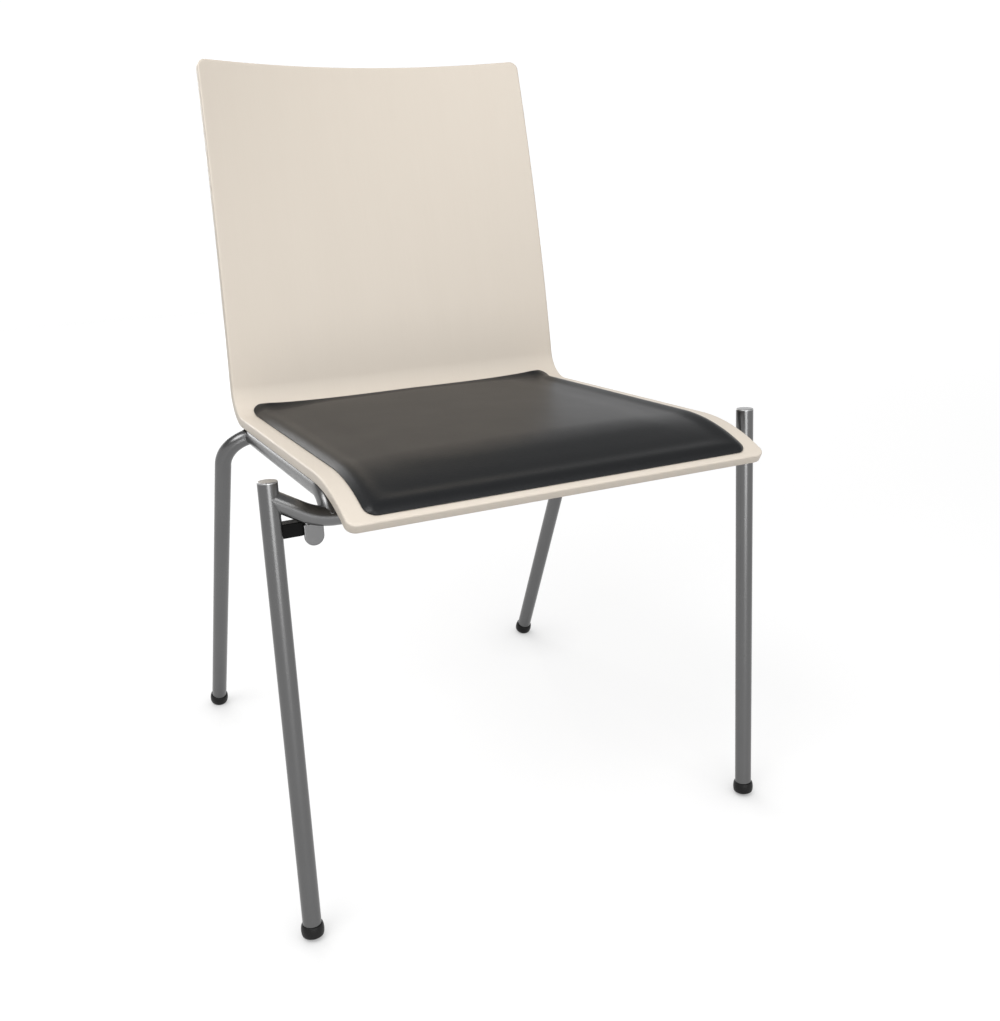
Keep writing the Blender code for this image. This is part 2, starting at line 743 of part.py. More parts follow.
def add_board(shell):
    """Curved board in the pad, with the four screws that hold it from under the shell."""
    start = POCKET_FRONT + BOARD_PLAY
    end = POCKET_BACK - BOARD_PLAY
    corner = corner_runs(BOARD_CORNER_R)
    runs = [start + run for run in corner] + even_runs(start + BOARD_CORNER_R, LIP_LENGTH, 6)
    runs += even_runs(LIP_LENGTH, BEND_START, 2)
    runs += even_runs(BEND_START, end - BOARD_CORNER_R, 1) + [end - run for run in reversed(corner[:-1])]
    bm = flat_grid([-1, -0.5, 0, 0.5, 1], runs)
    for vert in bm.verts:
        share, run, _ = vert.co
        vert.co = shell_point(share * board_half(run), run, PAD_FIT)
    board = add_part("pad_board", mesh_from(bm, "pad_board"), "board")
    thickness = board.modifiers.new("thickness", "SOLIDIFY")
    thickness.thickness = BOARD_T
    thickness.offset = 1

    head_top = -SHELL_T - FIT
    length = PAD_FIT + BOARD_T - head_top
    number = 0
    for side in (LEFT, RIGHT):
        for run in PAD_SCREW_RUNS:
            number += 1
            tag = "_" + str(number)
            place = shell_frame(side * PAD_SCREW_X, LIP_LENGTH + run, 0)
            hole = rod_mesh("pad_screw_hole" + tag, PAD_SCREW_R + FIT, head_top, PAD_FIT + 2 * BOARD_T)
            cutter = add_cutter("pad_screw_hole" + tag, hole, place)
            cut(shell, cutter)
            cut(board, cutter)
            screw = screw_mesh("pad_screw" + tag, PAD_SCREW_R, PAD_SCREW_HEAD_R, PAD_SCREW_HEAD_H, length)
            add_part("pad_screw" + tag, screw, "zinc", place @ Matrix.Translation((0, 0, head_top)))


# Lug and buffer at the left front leg


def front_frame(x, z):
    """A frame in the plane of the front legs: Y runs up the leg and Z points to the front."""
    return Matrix.Translation(front_leg_point(x, z)) @ Matrix.Rotation(pi / 2 - FRONT_LEG_LEAN, 4, "X")


def add_lug(cross_room):
    """A tongue with a round end. Its top is cut to the cross tube that it is welded to."""
    half = LUG_WIDTH / 2
    outline = arc_points((0, half - LUG_DROP), half, -pi, 0, 10) + [(half, 0), (-half, 0)]
    place = front_frame(LEFT * (FRONT_LEG_X - LUG_FROM_LEG), FRONT_CROSS_Z)
    lug = add_part("link_lug", flat_mesh("link_lug", outline, LUG_T), "steel", place)
    cut(lug, cross_room)


def add_buffer(leg, leg_room, cross_room):
    """A block with round ends behind the leg, hollowed to fit it, and the screw that holds it."""
    end_r = BUFFER_HEIGHT / 2
    outline = arc_points((BUFFER_IN - end_r, 0), end_r, -pi / 2, pi / 2, 8)
    outline += arc_points((end_r - BUFFER_OUT, 0), end_r, pi / 2, 3 * pi / 2, 8)
    on_leg = front_frame(LEFT * FRONT_LEG_X, FRONT_CROSS_Z - BUFFER_BELOW_CROSS)
    middle = Matrix.Translation((0, 0, -BUFFER_SET_BACK - BUFFER_DEPTH / 2))
    block = flat_mesh("stack_buffer", outline, BUFFER_DEPTH)
    buffer = add_part("stack_buffer", block, "plastic", on_leg @ middle)
    cut(buffer, leg_room)
    cut(buffer, cross_room)

    screw_x = end_r - BUFFER_OUT
    bore = sqrt((TUBE_R - TUBE_WALL) ** 2 - screw_x ** 2)
    head_at = -BUFFER_SET_BACK - BUFFER_DEPTH - FIT
    tip_at = -bore + BUFFER_SCREW_PAST
    place = on_leg @ Matrix.Translation((screw_x, 0, 0))
    hole = rod_mesh("buffer_screw_hole", BUFFER_SCREW_R + FIT, head_at, tip_at + FIT)
    cutter = add_cutter("buffer_screw_hole", hole, place)
    cut(buffer, cutter)
    cut(leg, cutter)
    length = tip_at - head_at
    screw = screw_mesh("buffer_screw", BUFFER_SCREW_R, BUFFER_SCREW_HEAD_R, BUFFER_SCREW_HEAD_H, length)
    add_part("buffer_screw", screw, "zinc", place @ Matrix.Translation((0, 0, head_at)))


def centre_on_origin():
    """Move the stand so that the chair's bounding box has its bottom centre at the origin."""
    bpy.context.view_layer.update()
    depsgraph = bpy.context.evaluated_depsgraph_get()
    corners = []
    for part in CHAIR.objects:
        if part.type == "MESH":
            evaluated = part.evaluated_get(depsgraph)
            corners += [part.matrix_world @ vert.co for vert in evaluated.data.vertices]
    low = [min(corner[i] for corner in corners) for i in range(3)]
    high = [max(corner[i] for corner in corners) for i in range(3)]
    STAND.location = (-(low[0] + high[0]) / 2, -(low[1] + high[1]) / 2, -low[2])
    bpy.context.view_layer.update()


seat_shell = add_shell()
front_legs, front_leg_rooms, side_rail_rooms, front_cross_room = add_frame()
add_leg_caps()
add_glides()
add_shell_fixings(seat_shell, side_rail_rooms)
add_pad()
add_board(seat_shell)
add_lug(front_cross_room)
add_buffer(front_legs["left"], front_leg_rooms["left"], front_cross_room)
centre_on_origin()
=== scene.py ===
# %% [markdown]
# A stacking chair: a moulded plywood shell, seat and back in one, on a frame of bent steel tube,
# with a thin upholstered pad on the seat.
# The engineering model gives every place and size. Here each piece is modelled again with the
# detail that the eye needs, at the same place, and gets its finish.

# %% Load the engineering model
from math import asin, cos, exp, pi, radians, sin, sqrt, tan

import bmesh
import bpy
from mathutils import Matrix, Vector


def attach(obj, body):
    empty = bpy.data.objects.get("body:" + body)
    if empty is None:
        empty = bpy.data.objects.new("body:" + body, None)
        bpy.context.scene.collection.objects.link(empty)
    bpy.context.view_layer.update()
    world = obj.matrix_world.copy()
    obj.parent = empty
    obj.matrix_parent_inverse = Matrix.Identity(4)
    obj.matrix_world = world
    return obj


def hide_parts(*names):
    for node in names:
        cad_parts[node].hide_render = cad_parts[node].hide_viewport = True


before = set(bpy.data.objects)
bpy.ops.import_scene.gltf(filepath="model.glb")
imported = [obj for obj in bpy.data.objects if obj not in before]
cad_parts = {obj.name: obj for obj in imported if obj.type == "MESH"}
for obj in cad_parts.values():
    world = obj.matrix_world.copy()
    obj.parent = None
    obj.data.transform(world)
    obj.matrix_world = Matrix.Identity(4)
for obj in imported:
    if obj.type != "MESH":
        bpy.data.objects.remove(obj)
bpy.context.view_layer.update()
bpy.ops.object.select_all(action="DESELECT")

# %% [markdown]
# The camera stands in front of the chair and to its left, a little above the back's top edge.
# Its place was found from known points of the chair, such as the feet and the tops of the posts,
# so a piece in its right place also lands on its right pixel.

# %% Camera
stands_at = (-0.5004, -1.0836, 0.7626)
turn_right = radians(27.14)
tilt_down = radians(19.72)
bpy.ops.object.camera_add(location=stands_at, rotation=(pi / 2 - tilt_down, 0, -turn_right))
camera = bpy.context.object
camera.data.sensor_fit = "HORIZONTAL"
camera.data.sensor_width = 36
camera.data.lens = 40.68
camera.data.shift_x = 0.0027
camera.data.shift_y = -0.0164
bpy.context.scene.camera = camera
print("camera lens", round(camera.data.lens, 2))

# %% [markdown]
# A finish is a small tree of shader nodes. Wiring nodes by hand takes many lines, so one class
# wraps a socket: sums on wrapped sockets add Math nodes, and its node method adds any other node.


# %% Shader maths
class Shade:
    """A socket of a node tree. Sums and products of sockets become Math nodes."""

    def __init__(self, tree, socket=None):
        self.tree = tree
        self.socket = socket

    def node(self, kind, settings, sockets, output=0):
        made = self.tree.nodes.new("ShaderNode" + kind)
        for name, value in settings.items():
            setattr(made, name, value)
        for name, value in sockets.items():
            if isinstance(value, Shade):
                self.tree.links.new(value.socket, made.inputs[name])
            else:
                made.inputs[name].default_value = value
        return Shade(self.tree, made.outputs[output])

    def maths(self, operation, first, second):
        return self.node("Math", {"operation": operation}, {0: first, 1: second})

    def __add__(self, other):
        return self.maths("ADD", self, other)

    def __sub__(self, other):
        return self.maths("SUBTRACT", self, other)

    def __mul__(self, other):
        return self.maths("MULTIPLY", self, other)

    def __radd__(self, other):
        return self.maths("ADD", other, self)

    def __rmul__(self, other):
        return self.maths("MULTIPLY", other, self)


# %% [markdown]
# Every finish starts as a Principled shader with its even values set on its own sockets.
# What varies over the surface is linked in afterwards: colour, roughness and a bump.

# %% Start and wire a finish
# The Mix node repeats its socket names for each kind of value. These are the ones for colours.
MIX_AMOUNT, MIX_FIRST, MIX_SECOND, MIX_RESULT = 0, 6, 7, 2


def new_finish(name, **values):
    material = bpy.data.materials.new(name)
    material.use_nodes = True
    shader = material.node_tree.nodes["Principled BSDF"]
    for socket, value in values.items():
        shader.inputs[socket.replace("_", " ")].default_value = value
    return material, Shade(material.node_tree)


def wire(material, **links):
    tree = material.node_tree
    for socket, shade in links.items():
        tree.links.new(shade.socket, tree.nodes["Principled BSDF"].inputs[socket.replace("_", " ")])


def stretched(shade, place, scale):
    """A place with its axes scaled: a small scale along an axis draws a pattern out along it."""
    return shade.node("VectorMath", {"operation": "MULTIPLY"}, {0: place, 1: scale})


def object_place(shade, scale):
    return stretched(shade, shade.node("TexCoord", {}, {}, "Object"), scale)


def noise(shade, place, detail, roughness):
    sockets = {"Vector": place, "Scale": 1.0, "Detail": detail, "Roughness": roughness}
    return shade.node("TexNoise", {}, sockets, "Fac")


def mix_colour(shade, amount, first, second):
    sockets = {MIX_AMOUNT: amount, MIX_FIRST: (*first, 1), MIX_SECOND: (*second, 1)}
    return shade.node("Mix", {"data_type": "RGBA"}, sockets, MIX_RESULT)


def bump(shade, height, distance, strength=1.0):
    sockets = {"Height": height, "Distance": distance, "Strength": strength}
    return shade.node("Bump", {}, sockets, "Normal")


# %% [markdown]
# The shell's veneer is a pale, close-grained wood under a satin lacquer. It looks almost even from
# a step away, and shows fine long fibres up close. The grain must follow the bent sheet, so it
# reads the place that a point had on the flat blank, which the shell's mesh keeps as "flat".
# The plies show only at the cut edge, because only there does the depth in the blank change.

# %% Veneer
PLY = 0.0015


def veneer_finish():
    material, shade = new_finish("pale_veneer", Roughness=0.46, Specular_IOR_Level=0.42)
    flat = shade.node("Attribute", {"attribute_name": "flat"}, {}, "Vector")
    fibres = noise(shade, stretched(shade, flat, (900, 16, 900)), 4, 0.6)
    clouds = noise(shade, stretched(shade, flat, (38, 3, 38)), 3, 0.5)
    depth = shade.node("SeparateXYZ", {}, {0: flat}, "Z")
    plies = shade.maths("SINE", depth * (2 * pi / PLY), 0)
    tone = fibres * 0.55 + clouds * 0.45 - plies * 0.10
    wood = mix_colour(shade, tone, (0.820, 0.742, 0.646), (0.775, 0.697, 0.600))
    rough = 0.40 + 0.12 * fibres
    wire(material, Base_Color=wood, Roughness=rough, Normal=bump(shade, fibres, 0.00003))
    return material


veneer = veneer_finish()
print("finish", veneer.name)

# %% [markdown]
# The frame is plated steel tube with a satin sheen. Drawn tube has faint lines along its length,
# so the noise is stretched along the tube: each direction of tube has its own stretch.


# %% Satin steel
def steel_finish(name, stretch, colour):
    material, shade = new_finish(name, Metallic=1.0, Roughness=0.3)
    lines = noise(shade, object_place(shade, stretch), 3, 0.6)
    clouds = noise(shade, object_place(shade, (22, 22, 22)), 2, 0.5)
    light, dark = colour * 1.08, colour * 0.90
    tone = lines * 0.5 + clouds * 0.5
    grey = mix_colour(shade, tone, (light, light, light), (dark, dark, dark * 1.01))
    rough = 0.23 + 0.07 * lines + 0.05 * clouds
    wire(material, Base_Color=grey, Roughness=rough, Normal=bump(shade, lines, 0.00001))
    return material


# The frame is one plated steel, but its grey is set part by part. Legs and rails are darker than such
# steel, as painted shade for the dark surroundings it would mirror. The legs are the darkest. The post
# caps get a lighter grey, as painted light on their upward faces.
SHADED_LEG_GREY, SHADED_RAIL_GREY, LIT_DISC_GREY, ZINC_GREY = 0.14, 0.17, 0.36, 0.30
FINE, LONG = 1500, 18
steel_up = steel_finish("satin_steel_upright", (FINE, FINE, LONG), SHADED_LEG_GREY)
steel_across = steel_finish("satin_steel_across", (LONG, FINE, FINE), SHADED_RAIL_GREY)
steel_along = steel_finish("satin_steel_lengthwise", (FINE, LONG, FINE), SHADED_RAIL_GREY)
steel_plate = steel_finish("satin_steel_plate", (700, 700, 700), SHADED_RAIL_GREY)
steel_disc = steel_finish("satin_steel_disc", (700, 700, 700), LIT_DISC_GREY)
zinc = steel_finish("zinc_plating", (500, 500, 500), ZINC_GREY)
metals = (steel_up, steel_across, steel_along, steel_plate, steel_disc, zinc)
print("finishes", [metal.name for metal in metals])

# %% [markdown]
# The pad's cover is dark grey leather-like sheet with a fine pebble grain. Cells from a Voronoi
# texture make the pebbles, and a finer noise breaks them up. The glides and the buffer are black
# moulded plastic with a slight texture, and the board in the pad is plain brown hardboard.


# %% Leather, plastic and board
def leather_finish():
    material, shade = new_finish("dark_leather", Roughness=0.45, Specular_IOR_Level=0.32)
    cells = {"Vector": object_place(shade, (1, 1, 1)), "Scale": 620.0}
    pebbles = shade.node("TexVoronoi", {"feature": "SMOOTH_F1"}, cells, "Distance")
    fine = noise(shade, object_place(shade, (2600, 2600, 2600)), 3, 0.6)
    clouds = noise(shade, object_place(shade, (16, 16, 16)), 3, 0.5)
    grain = 0.7 * pebbles + 0.3 * fine
    tone = 0.5 * clouds + 0.5 * pebbles
    grey = mix_colour(shade, tone, (0.0060, 0.0068, 0.0080), (0.0120, 0.0128, 0.0140))
    rough = 0.33 + 0.08 * fine + 0.06 * clouds
    wire(material, Base_Color=grey, Roughness=rough, Normal=bump(shade, grain, 0.00022, 0.6))
    return material


def plastic_finish(name, gloss, dark, light):
    material, shade = new_finish(name, Roughness=0.42, Specular_IOR_Level=gloss)
    spark = noise(shade, object_place(shade, (1800, 1800, 1800)), 2, 0.5)
    clouds = noise(shade, object_place(shade, (60, 60, 60)), 2, 0.5)
    black = mix_colour(shade, clouds, (dark, dark, dark), (light, light, light))
    rough = 0.36 + 0.14 * spark
    wire(material, Base_Color=black, Roughness=rough, Normal=bump(shade, spark, 0.00005, 0.5))
    return material


def board_finish():
    material, shade = new_finish("brown_hardboard", Roughness=0.75)
    fibres = noise(shade, object_place(shade, (420, 420, 420)), 5, 0.7)
    brown = mix_colour(shade, fibres, (0.30, 0.19, 0.11), (0.46, 0.33, 0.21))
    rough = 0.68 + 0.14 * fibres
    wire(material, Base_Color=brown, Roughness=rough, Normal=bump(shade, fibres, 0.0001, 0.5))
    return material


leather = leather_finish()
plastic = plastic_finish("black_plastic", gloss=0.18, dark=0.010, light=0.015)
rubber = plastic_finish("black_rubber", gloss=0.06, dark=0.005, light=0.008)
hardboard = board_finish()
print("finishes", leather.name, plastic.name, rubber.name, hardboard.name)

# %% [markdown]
# Modelling by hand repeats a few moves: open a new primitive in edit mode, select by place, extrude,
# move a finished shape to its seat, and hand the piece over. Small helpers keep those moves short.

# %% Modelling helpers
SHARP = radians(60)


def opened(name):
    """Name the primitive that was just added, put its place into its mesh and open it for editing."""
    piece = bpy.context.object
    piece.name = name
    piece.data.name = name
    bpy.ops.object.transform_apply(location=True, rotation=True, scale=True)
    bpy.ops.object.mode_set(mode="EDIT")
    bpy.ops.mesh.select_all(action="SELECT")
    return piece


def middle(item):
    """The middle of an edge or a face."""
    corners = [vert.co for vert in item.verts]
    return sum(corners, Vector()) / len(corners)


def choose(kind, test):
    """Select the points, edges or faces that pass a test."""
    bpy.ops.mesh.select_mode(type=kind)
    bpy.ops.mesh.select_all(action="DESELECT")
    mesh = bmesh.from_edit_mesh(bpy.context.object.data)
    for item in {"VERT": mesh.verts, "EDGE": mesh.edges, "FACE": mesh.faces}[kind]:
        if test(item):
            item.select_set(True)
    mesh.select_flush_mode()
    bmesh.update_edit_mesh(bpy.context.object.data)


def is_rim(edge):
    """An edge where two faces meet at a sharp turn."""
    return len(edge.link_faces) == 2 and edge.calc_face_angle(0) > SHARP


def extrude(move):
    bpy.ops.mesh.extrude_region_move(TRANSFORM_OT_translate={"value": move})


def closed():
    """Merge doubles, turn the faces outwards and leave edit mode."""
    bpy.ops.mesh.select_all(action="SELECT")
    bpy.ops.mesh.remove_doubles(threshold=0.00002)
    bpy.ops.mesh.normals_make_consistent(inside=False)
    bpy.ops.object.mode_set(mode="OBJECT")


def only(piece):
    bpy.ops.object.select_all(action="DESELECT")
    piece.select_set(True)
    bpy.context.view_layer.objects.active = piece


def discard(piece):
    only(piece)
    bpy.ops.object.delete()


def settled(piece, place):
    """Move a piece that was modelled at the origin to its seat, with the place in its mesh."""
    only(piece)
    piece.matrix_world = place
    bpy.ops.object.transform_apply(location=True, rotation=True, scale=True)
    return piece


def copied(master, name, place):
    only(master)
    bpy.ops.object.duplicate(linked=False)
    piece = bpy.context.object
    piece.name = name
    piece.data.name = name
    return settled(piece, place)


def handed_over(piece, finish, slot, *nodes):
    """Smooth shading, finish and a place in the frame."""
    only(piece)
    bpy.ops.object.shade_smooth_by_angle(angle=radians(40))
    piece.data.materials.clear()
    piece.data.materials.append(finish)
    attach(piece, "root")
    if nodes:
        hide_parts(*nodes)
    print("made", piece.name, "with", len(piece.data.polygons), "faces")


# %% [markdown]
# The shell starts as a flat stack of veneers and is bent in a press, so it is modelled the same way.
# The press has a line that the sheet follows from front to back: a round lip, a straight seat,
# a tight bend and a back with a slight curve. The back is also hollow from side to side.

# %% The press
CREST_Y, SEAT_HEIGHT = -0.1797, 0.4450
SHELL_FRONT_HALF, SHELL_TAPER = 0.2167, 0.0282
LIP_R, LIP_ANGLE = 0.192, radians(25.9)
SEAT_TILT, SEAT_STRAIGHT = radians(4.6), 0.2713
SEAT_BEND_R, BACK_ANGLE = 0.032, radians(80.6)
BACK_R, BACK_LENGTH, BACK_HOLLOW = 2.76, 0.355, 0.0296
LIP_LENGTH = LIP_R * (LIP_ANGLE + SEAT_TILT)
BEND_START = LIP_LENGTH + SEAT_STRAIGHT
BEND_LENGTH = SEAT_BEND_R * (BACK_ANGLE + SEAT_TILT)
BACK_START = BEND_START + BEND_LENGTH
SHELL_LENGTH = BACK_START + BACK_LENGTH


def along_arc(y, z, angle, radius, length):
    turned = angle + length / radius
    return y + radius * (sin(turned) - sin(angle)), z - radius * (cos(turned) - cos(angle)), turned


def press_line(run):
    """Place and slope of the press at a run from the front edge of the sheet."""
    y = CREST_Y - LIP_R * sin(LIP_ANGLE)
    z = SEAT_HEIGHT - LIP_R * (1 - cos(LIP_ANGLE))
    y, z, angle = along_arc(y, z, LIP_ANGLE, -LIP_R, min(run, LIP_LENGTH))
    straight = min(max(run - LIP_LENGTH, 0), SEAT_STRAIGHT)
    y, z = y + straight * cos(angle), z + straight * sin(angle)
    y, z, angle = along_arc(y, z, angle, SEAT_BEND_R, min(max(run - BEND_START, 0), BEND_LENGTH))
    return along_arc(y, z, angle, -BACK_R, max(run - BACK_START, 0))


def half_width(run):
    return SHELL_FRONT_HALF - SHELL_TAPER * run


def pressed(x, run, height):
    """Where a point of the flat sheet lies after the press."""
    y, z, angle = press_line(run)
    rise = max(run - BEND_START, 0) / (SHELL_LENGTH - BEND_START)
    hollow = BACK_HOLLOW * rise * rise * (2 - rise) * (1 - (x / half_width(run)) ** 2)
    return Vector((x, y - (height - hollow) * sin(angle), z + (height - hollow) * cos(angle)))


print("sheet", round(SHELL_LENGTH, 4), "m long, seat bend starts at", round(BEND_START, 4))

# %% [markdown]
# The blank is a plane at the sheet's length and front width. Its rear edge is scaled in, its corners
# are rounded with a vertex bevel, and it is extruded to the thickness of seven plies. An inset keeps
# the smooth shading of the softened edge in a narrow band.

# %% Flat blank
SHELL_T, SHELL_CORNER_R, SHELL_EDGE_R = 0.0105, 0.010, 0.0018
bpy.ops.mesh.primitive_plane_add(size=1, location=(0, SHELL_LENGTH / 2, 0))
bpy.context.object.scale = (2 * half_width(0), SHELL_LENGTH, 1)
shell = opened("plywood_shell")
choose("VERT", lambda vert: vert.co.y > SHELL_LENGTH / 2)
narrower = half_width(SHELL_LENGTH) / half_width(0)
bpy.ops.transform.resize(value=(narrower, 1, 1), center_override=(0, SHELL_LENGTH, 0))
bpy.ops.mesh.select_all(action="SELECT")
bpy.ops.mesh.bevel(offset=SHELL_CORNER_R, segments=12, affect="VERTICES")
bpy.ops.mesh.select_all(action="SELECT")
extrude((0, 0, -SHELL_T))
bpy.ops.mesh.select_all(action="SELECT")
bpy.ops.mesh.normals_make_consistent(inside=False)
choose("FACE", lambda face: abs(face.normal.z) > 0.9)
bpy.ops.mesh.inset(thickness=0.004)
choose("EDGE", is_rim)
bpy.ops.mesh.bevel(offset=SHELL_EDGE_R, segments=4, affect="EDGES", clamp_overlap=False)
print("blank has", len(bmesh.from_edit_mesh(shell.data).faces), "faces")

# %% [markdown]
# The sheet bends only where it has edges across, so it is sliced: closely at the lip and the tight
# bend, wider on the seat and the back. Then each point's flat place is kept for the grain, and the
# press moves it.

# %% Slice and press the shell
LAST_COLUMN = 0.204


def even(start, end, count):
    return [start + (end - start) * i / count for i in range(1, count + 1)]


def slice_at(place, normal):
    bpy.ops.mesh.select_all(action="SELECT")
    bpy.ops.mesh.bisect(plane_co=place, plane_no=normal)


rows = even(0, LIP_LENGTH, 24) + even(LIP_LENGTH, BEND_START, 10)
rows += even(BEND_START, BACK_START, 32) + even(BACK_START, SHELL_LENGTH, 24)[:-1]
for row in rows:
    slice_at((0, row, 0), (0, 1, 0))
for column in even(-LAST_COLUMN, LAST_COLUMN, 34):
    slice_at((column, 0, 0), (1, 0, 0))
closed()


def keep_flat_and_press(piece, lift=0.0):
    """Keep each point's flat place as an attribute, then move it as the press does."""
    flat = piece.data.attributes.new("flat", "FLOAT_VECTOR", "POINT")
    for vert, kept in zip(piece.data.vertices, flat.data):
        kept.vector = vert.co
        vert.co = pressed(vert.co.x, vert.co.y, vert.co.z + lift)


keep_flat_and_press(shell)
handed_over(shell, veneer, "plywood", "seat_shell")

# %% [markdown]
# The pad is a foam sheet on a thin board, wrapped in its cover. Its edge is a soft roll, with a
# shallow valley inside it, and the middle is slightly crowned. It is modelled flat too: a grid with
# close lines near its edge, so that the roll has enough points, then extruded to a closed body.

# %% Pad outline and rise
PAD_FRONT, PAD_BACK, BACK_BOW = 0.007, BEND_START + 0.025, 0.008
PAD_MARGIN, PAD_CORNER_R, PAD_EDGE_H = 0.018, 0.012, 0.0010
BEAD_IN, BEAD_H = 0.0105, 0.0047
VALLEY_SLOPE, VALLEY_DEPTH = 0.013, 0.0026
CROWN_IN, CROWN_REACH, CROWN_H = 0.014, 0.09, 0.0050
THIN_BACK_REACH, BACK_ROLL_R = 0.026, 0.003
CORNER_POWER, LEAST_WAY = 5, 0.00001
EDGE_LINES = (0, 0.0004, 0.0010, 0.0019, 0.0031, 0.0046, 0.0065, 0.0088)
EDGE_LINES += (0.0115, 0.0145, 0.018, 0.022, 0.027, 0.032, 0.037, 0.043)


def spread(start, end, step):
    """Lines between two ends, close together near both."""
    inner = (start + EDGE_LINES[-1], end - EDGE_LINES[-1])
    count = round((inner[1] - inner[0]) / step)
    lines = [start + line for line in EDGE_LINES] + even(*inner, count)[:-1]
    return lines + [end - line for line in reversed(EDGE_LINES)]


def pad_half(run):
    into = PAD_CORNER_R - min(max(min(run - PAD_FRONT, PAD_BACK - run), 0), PAD_CORNER_R)
    return half_width(run) - PAD_MARGIN - PAD_CORNER_R + sqrt(PAD_CORNER_R ** 2 - into ** 2)


def from_edge(x, run):
    """Distance in from the nearest side or front edge, eased round the corners."""
    ways = (pad_half(run) - abs(x), run - PAD_FRONT)
    return sum(max(way, LEAST_WAY) ** -CORNER_POWER for way in ways) ** (-1 / CORNER_POWER)


def ease(share):
    share = min(max(share, 0), 1)
    return share * share * (3 - 2 * share)


def pad_rise(x, run):
    """Height of the cover over the shell: a bead round the edge, a step down inside it and a crown."""
    inset = from_edge(x, run)
    from_back = PAD_BACK - run
    bead = BEAD_H * sin(pi / 2 * min(inset / BEAD_IN, 1))
    valley = VALLEY_DEPTH * ease((inset - BEAD_IN) / VALLEY_SLOPE)
    crown = CROWN_H * (1 - exp(-max(inset - CROWN_IN, 0) / CROWN_REACH))
    thinning = 0.1 + 0.5 * (x / pad_half(run)) ** 2
    thin_back = 1 - thinning * max(1 - from_back / THIN_BACK_REACH, 0) ** 2
    back_roll = sqrt(1 - min(max(1 - from_back / BACK_ROLL_R, 0), 1) ** 2)
    return PAD_EDGE_H + back_roll * thin_back * (bead - valley + crown)


GRID_STEP, GRID_HALF = 0.006, 0.1955
pad_runs = spread(PAD_FRONT, PAD_BACK, GRID_STEP)
pad_columns = [line / GRID_HALF for line in spread(-GRID_HALF, GRID_HALF, GRID_STEP)]
print("pad grid", len(pad_columns), "by", len(pad_runs))

# %% [markdown]
# The grid takes the pad's outline row by row, and its upper side takes the rise. Each point also gets
# a grip for the simulation that follows: full underneath, strong near the edge and none in the middle.

# %% Pad body
START_SHARE, START_H = 0.97, 0.001
EDGE_GRIP, GRIP_IN, GRIP_FADE = 0.85, 0.03, 0.03
BOW_REACH = 0.07
across, along = len(pad_columns) - 1, len(pad_runs) - 1
bpy.ops.mesh.primitive_grid_add(x_subdivisions=across, y_subdivisions=along, size=2)
pad = opened("leather_pad")
bpy.ops.object.mode_set(mode="OBJECT")
for vert in pad.data.vertices:
    run = pad_runs[round((vert.co.y + 1) / 2 * along)]
    vert.co = (pad_columns[round((vert.co.x + 1) / 2 * across)] * pad_half(run), run, 0)
bpy.ops.object.mode_set(mode="EDIT")
bpy.ops.mesh.select_all(action="SELECT")
extrude((0, 0, START_H))
closed()
held = pad.vertex_groups.new(name="held")
for vert in pad.data.vertices:
    grip = 1.0
    if vert.co.z > START_H / 2:
        vert.co.z = START_SHARE * pad_rise(vert.co.x, vert.co.y)
        grip = EDGE_GRIP * (1 - ease((from_edge(vert.co.x, vert.co.y) - GRIP_IN) / GRIP_FADE))
    held.add([vert.index], grip, "REPLACE")
for vert in pad.data.vertices:
    bow = BACK_BOW * (1 - (vert.co.x / pad_half(vert.co.y)) ** 2)
    vert.co.y -= bow * ease(1 - (PAD_BACK - vert.co.y) / BOW_REACH)
start_shape = [vert.co.copy() for vert in pad.data.vertices]
print("pad body", len(start_shape), "points")

# %% [markdown]
# A cover over foam is pushed out by the foam and held by its own tension. A cloth simulation with
# air pressure gives that swell. The underside is held where it rests on the shell, gravity is off,
# and no point may move further than a small cap, because the pad is thin.

# %% Swell the pad
CAP, LAST_STEP = 0.0007, 20
cloth = pad.modifiers.new("swell", "CLOTH")
cloth.settings.quality = 6
cloth.settings.mass = 0.25
cloth.settings.tension_stiffness = 25
cloth.settings.compression_stiffness = 25
cloth.settings.bending_stiffness = 0.8
cloth.settings.use_pressure = True
cloth.settings.uniform_pressure_force = 2
cloth.settings.vertex_group_mass = "held"
cloth.settings.effector_weights.gravity = 0
cloth.point_cache.frame_start, cloth.point_cache.frame_end = 1, LAST_STEP
for step in range(1, LAST_STEP + 1):
    bpy.context.scene.frame_set(step)
only(pad)
bpy.ops.object.modifier_apply(modifier="swell")
bpy.context.scene.frame_set(1)
moves = [vert.co - start for vert, start in zip(pad.data.vertices, start_shape)]
print("swell before the cap", round(max(move.length for move in moves), 5))
for vert, start, move in zip(pad.data.vertices, start_shape, moves):
    vert.co = start + (move if move.length < CAP else move * (CAP / move.length))

# %% [markdown]
# One level of subdivision smooths the swelled cover. Then the press lays it on the seat.

# %% Press the pad
PAD_LIFT = 0.0004
smooth = pad.modifiers.new("smooth", "SUBSURF")
smooth.levels = smooth.render_levels = 1
only(pad)
bpy.ops.object.modifier_apply(modifier="smooth")
keep_flat_and_press(pad, PAD_LIFT)
handed_over(pad, leather, "pad_cover", "seat_pad")

# %% [markdown]
# The frame is round tube. A ring with a face is added at one end, square to the tube, and extruded
# along each straight run. At a bend the Spin operator carries it round the bend's centre, as a tube
# bender does. Spin turns clockwise for a positive angle, so the angle is given as negative.

# %% Tube drawing
TUBE_R, TUBE_SIDES = 0.009, 48
BEND_STEP = radians(4)


